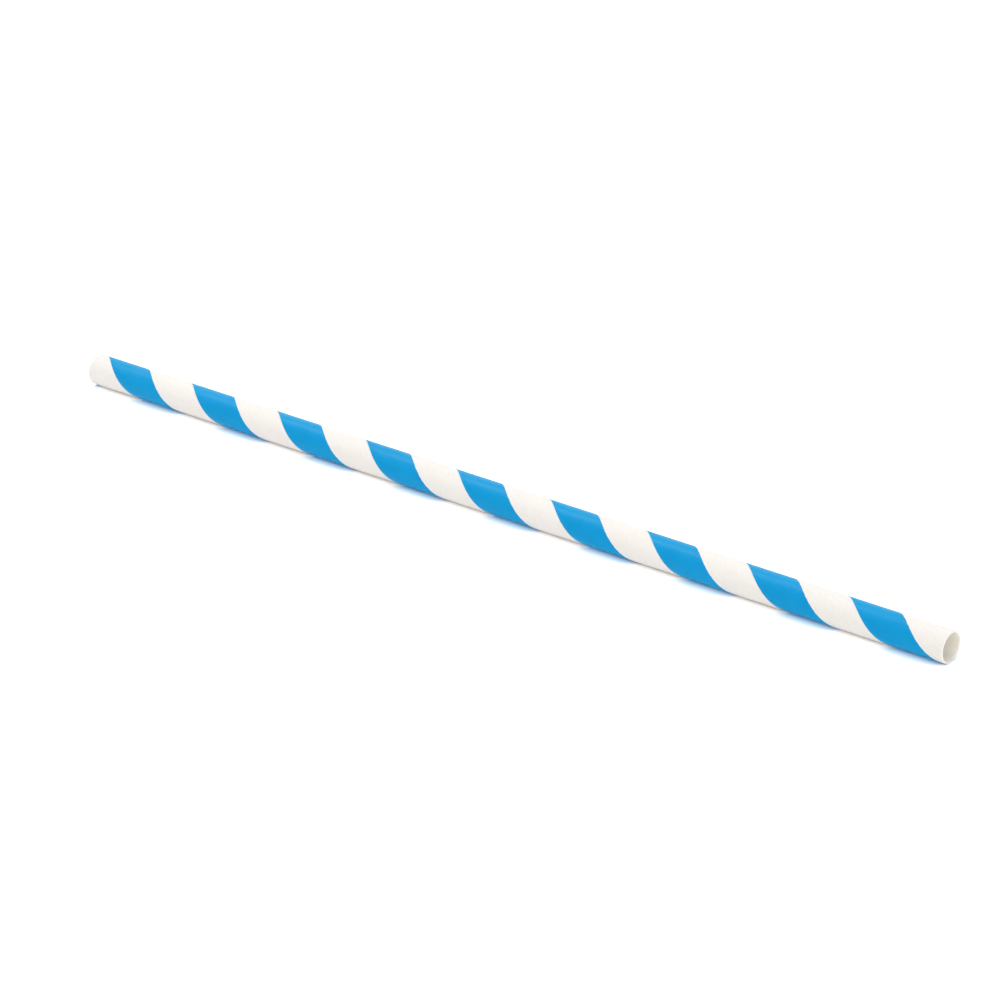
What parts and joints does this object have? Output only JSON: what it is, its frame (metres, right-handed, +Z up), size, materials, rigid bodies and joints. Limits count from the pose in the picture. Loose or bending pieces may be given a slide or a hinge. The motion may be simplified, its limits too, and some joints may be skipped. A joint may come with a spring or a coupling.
{
  "type": "paper drinking straw",
  "caption": "Straight round drinking straw of spiral-wound paper tape, open at both ends, with broad blue and white spiral stripes.",
  "frame": {"origin": "on the surface the straw lies on, below the middle of its length", "axes": "+X along the straw, +Z up; the straw is the same from either end"},
  "size_m": [0.197, 0.006, 0.006],
  "materials": {
    "printed_paper": "uncoated matt paper, printed with one blue band to each turn"
  },
  "bodies": {
    "root": {"paper_tube": "printed_paper"}
  },
  "joints": []
}
